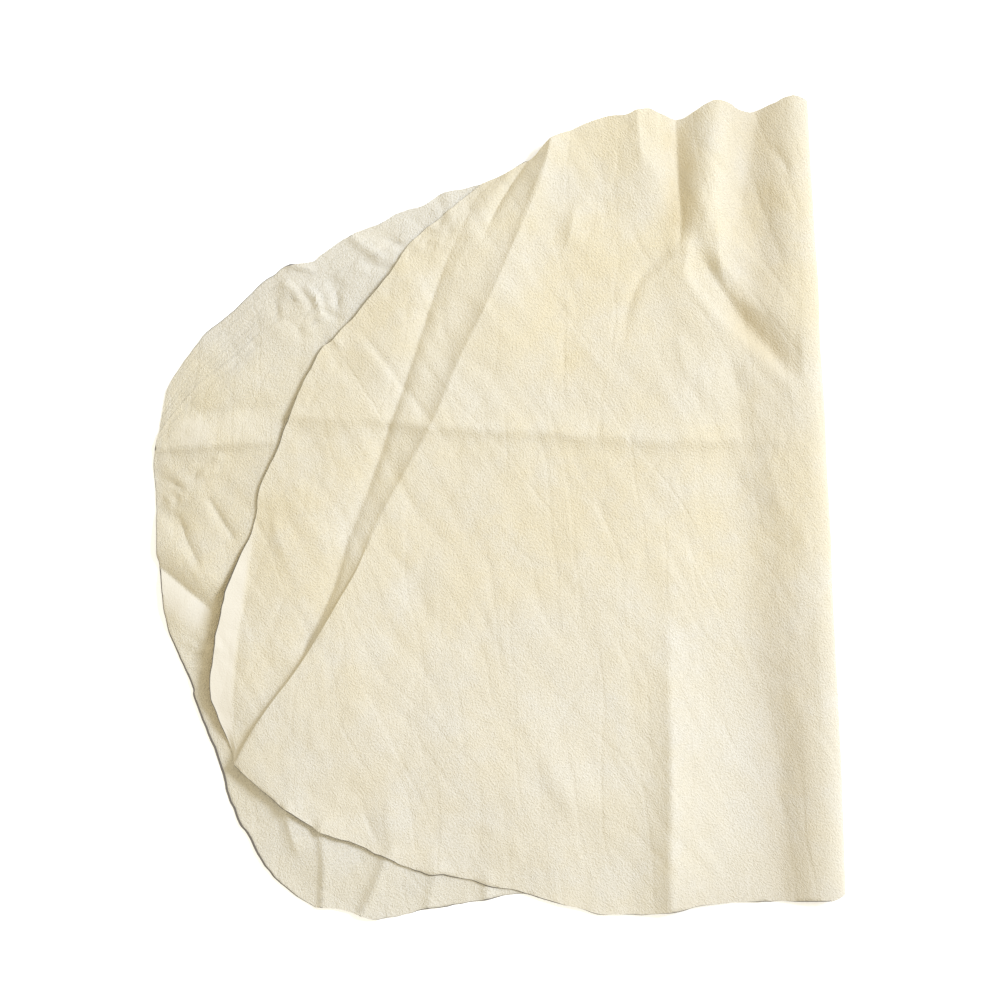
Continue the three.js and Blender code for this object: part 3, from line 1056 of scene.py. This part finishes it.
def sheet_faces(rows, columns):
    """Corners of the faces of a sheet: its outer side, its inner side and the cut rim between them."""
    count = rows * columns
    index = np.arange(count).reshape(rows, columns)
    corners = [index[:-1, :-1], index[1:, :-1], index[1:, 1:], index[:-1, 1:]]
    outside = np.stack([corner.ravel() for corner in corners], axis=1)
    inside = outside[:, ::-1] + count
    loop = np.concatenate([index[0, :-1], index[:-1, -1], index[-1, :0:-1], index[:0:-1, 0]])
    ahead = np.roll(loop, -1)
    rim = np.stack([loop, ahead, ahead + count, loop + count], axis=1)
    return outside, inside, rim


def flat_map(outer, crest):
    """Places of a sheet's points in metres when it is spread flat, from its column at the crest."""
    steps = np.linalg.norm(np.diff(outer, axis=1), axis=2)
    run = np.concatenate([np.zeros((len(outer), 1)), np.cumsum(steps, axis=1)], axis=1)
    run = run - run[:, [crest]]
    return np.stack([run, outer[:, :, 1]], axis=2).reshape(-1, 2) * MM


def leather(name, outer, inner, crest, wear_and_painted_light):
    """One sheet of leather with its flat map and its wear and painted light and shade, which are given at its
    outer and inner points.
    """
    sides = sheet_faces(*outer.shape[:2])
    faces = np.concatenate(sides)
    points = np.concatenate([outer.reshape(-1, 3), inner.reshape(-1, 3)]) + np.array([HINGE_X, Y_SHIFT, 0])
    mesh = bpy.data.meshes.new(name)
    mesh.from_pydata((points * MM).tolist(), [], faces.tolist())
    mesh.polygons.foreach_set("use_smooth", [True] * len(faces))
    mesh.polygons.foreach_set("material_index", np.repeat([0, 1, 2], [len(side) for side in sides]))
    mesh.set_sharp_from_angle(angle=SHARP_ANGLE)
    flat = flat_map(outer, crest)
    layer = mesh.uv_layers.new(name="flat")
    layer.data.foreach_set("uv", flat[faces.ravel() % len(flat)].ravel())
    for kind, shares in wear_and_painted_light.items():
        layer = mesh.attributes.new(kind, "FLOAT", "POINT")
        layer.data.foreach_set("value", np.concatenate([side.ravel() for side in shares]))
    for material in (OUTER_SUEDE, INNER_SUEDE, CUT_EDGE_SHADE):
        mesh.materials.append(material)
    return placed(name, mesh)


def make_lower_skin():
    """Lower leaf and roll in one sheet. Its outer side is the underside, and sticks out at the cut."""
    outer = np.concatenate([lower_leaf_side(), roll_side()], axis=1)
    x, y, z = np.moveaxis(outer, 2, 0)
    zero_share = np.zeros(x.shape)
    # Painted shade on the roll's outside; inside, a painted highlight on the facet, a painted shadow on the
    # strip and a painted golden shadow by the flap
    wear_and_painted_light = {
        "rubbed_and_highlight": (zero_share, highlit_facet(x, y)),
        "painted_shade": (shoulder_painted_shade(x, y) * smooth(z / CREST), strip_painted_shadow(x, y)),
        "golden_shade": (zero_share, margin_golden_shadow(x, y)),
    }
    outer_skive = np.interp(outer[:, 0, 1], *SKIVE_LOWER)
    far_skive = np.interp(outer[-1, :, 0], *SKIVE_FAR)
    cut = skived(outer, 0, 1, outer_skive, far_skive)
    return leather("lower_skin", cut, other_side(outer), crest=-1, wear_and_painted_light=wear_and_painted_light)


def make_upper_skin():
    """Upper leaf from the roll's crest on. Its inner side is the underside, and sticks out at the cut."""
    outer = upper_leaf_side()
    x, y, _ = np.moveaxis(outer, 2, 0)
    zero_share = np.zeros(x.shape)
    rubbed_and_highlight = highlit_margin(x, y)
    # Painted highlight and painted shade on the flap's margin, painted shade along the shoulder and near
    # edge, and painted golden shade in the far valleys
    wear_and_painted_light = {
        "rubbed_and_highlight": (rubbed_and_highlight, zero_share),
        "painted_shade": (np.maximum(shoulder_painted_shade(x, y), MARGIN_SHADE * rubbed_and_highlight), zero_share),
        "golden_shade": (valley_golden_shade(x, y), zero_share),
    }
    outer_skive = np.interp(outer[:, -1, 1], *SKIVE_UPPER)
    far_skive = np.zeros(x.shape[1])
    cut = skived(other_side(outer), -1, -2, outer_skive, far_skive)
    return leather("upper_skin", outer, cut, crest=0, wear_and_painted_light=wear_and_painted_light)


lower_skin = make_lower_skin()
upper_skin = make_upper_skin()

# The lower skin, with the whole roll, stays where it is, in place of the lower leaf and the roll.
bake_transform(lower_skin)
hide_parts("lower_leaf", "fold_roll")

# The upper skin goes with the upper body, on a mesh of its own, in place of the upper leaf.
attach(upper_skin, "upper")
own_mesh(upper_skin)
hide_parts("upper_leaf")

# Table, camera and lights

FLOOR_HALF = 20.0
FLOOR_Z = -0.0002
FLOOR_CORNERS = [(-1, -1), (1, -1), (1, 1), (-1, 1)]

# The camera looks straight down at this place of the folded skin, and takes in this width.
VIEW_X = -201.5
VIEW_Y = 256.3
VIEW_CENTRE = Vector(((HINGE_X + VIEW_X) * MM, (Y_SHIFT + VIEW_Y) * MM, 0))
VIEW_WIDTH = 0.6206
VIEW_DISTANCE = 1.5
VIEW_ROLL = math.radians(-2.8)
SENSOR = 36.0

# A cool key light from the fold's side, and a warm fill from all round
KEY_AZIMUTH = math.radians(25)
KEY_ELEVATION = math.radians(38)
KEY_DISTANCE = 3.2
KEY_SIZE = 1.1
KEY_POWER = 94.0
KEY_COLOUR = (0.88, 1.0, 1.28)
FILL_COLOUR = (1.08, 1.0, 0.81)
FILL_STRENGTH = 0.83


def table_top():
    """Plain pale surface under the skin."""
    mesh = bpy.data.meshes.new("table_top")
    points = [(x * FLOOR_HALF, y * FLOOR_HALF, FLOOR_Z) for x, y in FLOOR_CORNERS]
    mesh.from_pydata(points, [], [(0, 1, 2, 3)])
    mesh.materials.append(plain("table_white", TABLE_FINISH))
    return placed("table_top", mesh)


def add_camera():
    """Camera that looks straight down, turned a little as in the photo."""
    camera = placed("camera", bpy.data.cameras.new("camera"))
    camera.location = VIEW_CENTRE + Vector((0, 0, VIEW_DISTANCE))
    camera.rotation_euler = (0, 0, VIEW_ROLL)
    camera.data.sensor_width = SENSOR
    camera.data.lens = SENSOR * VIEW_DISTANCE / VIEW_WIDTH
    bpy.context.scene.camera = camera


def add_key_light():
    """Round key light that is turned to the skin."""
    key = placed("key_light", bpy.data.lights.new("key_light", "AREA"))
    key.data.shape = "DISK"
    key.data.size = KEY_SIZE
    key.data.energy = KEY_POWER
    key.data.color = KEY_COLOUR
    level = math.cos(KEY_ELEVATION)
    x = level * math.cos(KEY_AZIMUTH)
    y = level * math.sin(KEY_AZIMUTH)
    towards = Vector((x, y, math.sin(KEY_ELEVATION)))
    key.location = VIEW_CENTRE + towards * KEY_DISTANCE
    key.rotation_euler = towards.to_track_quat("Z", "Y").to_euler()


def add_fill():
    """Even fill light from the studio all round."""
    world = bpy.data.worlds.new("studio")
    world.use_nodes = True
    background = world.node_tree.nodes["Background"]
    background.inputs["Color"].default_value = (*FILL_COLOUR, 1)
    background.inputs["Strength"].default_value = FILL_STRENGTH
    bpy.context.scene.world = world


table_top()
add_camera()
add_key_light()
add_fill()
bpy.context.scene.view_settings.view_transform = "Standard"
